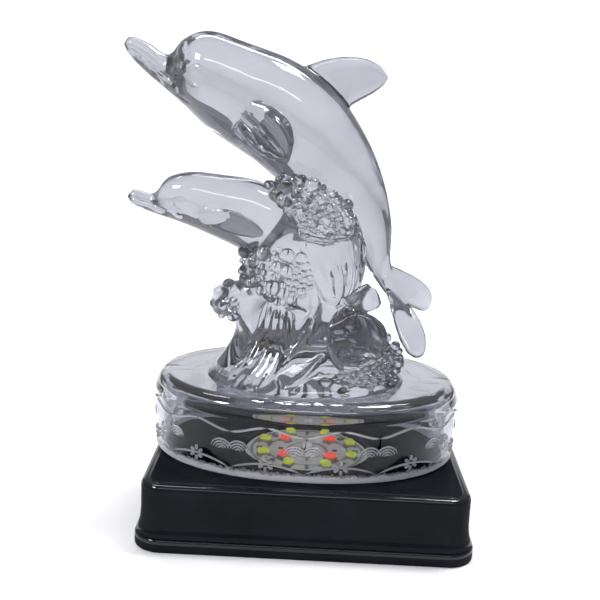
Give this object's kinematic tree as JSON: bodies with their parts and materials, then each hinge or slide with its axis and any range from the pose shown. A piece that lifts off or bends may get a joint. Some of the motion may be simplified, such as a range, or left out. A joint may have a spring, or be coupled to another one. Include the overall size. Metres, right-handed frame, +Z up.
{
  "type": "acrylic dolphin ornament",
  "caption": "Clear moulded ornament of leaping dolphins above a breaking wave on an oval plinth, lit from a black rectangular base.",
  "frame": {"origin": "on the surface it stands on, below the middle of the whole ornament's box", "axes": "+Z up, -X the way the dolphins leap and look, -Y the front with the small dolphin nearer"},
  "size_m": [0.1112, 0.08, 0.1478],
  "materials": {
    "housing": "gloss black moulded plastic with faint handling marks",
    "crystal": "clear polished moulded acrylic, cool grey, with a frosted band at the plinth's bottom edge",
    "board": "off-white printed circuit board",
    "chip_white": "white light chip with a pale lens",
    "chip_red": "red light chip lens",
    "chip_green": "yellow-green light chip lens"
  },
  "bodies": {
    "root": {"base_housing": "housing", "crystal_dolphins": "crystal", "light_board": "board", "light_chip_white_1": "chip_white", "light_chip_red_1": "chip_red", "light_chip_red_2": "chip_red", "light_chip_red_3": "chip_red", "light_chip_red_4": "chip_red", "light_chip_green_1": "chip_green", "light_chip_green_2": "chip_green", "light_chip_green_3": "chip_green", "light_chip_green_4": "chip_green", "light_chip_green_5": "chip_green", "light_chip_green_6": "chip_green", "light_chip_green_7": "chip_green", "light_chip_green_8": "chip_green"}
  },
  "joints": []
}
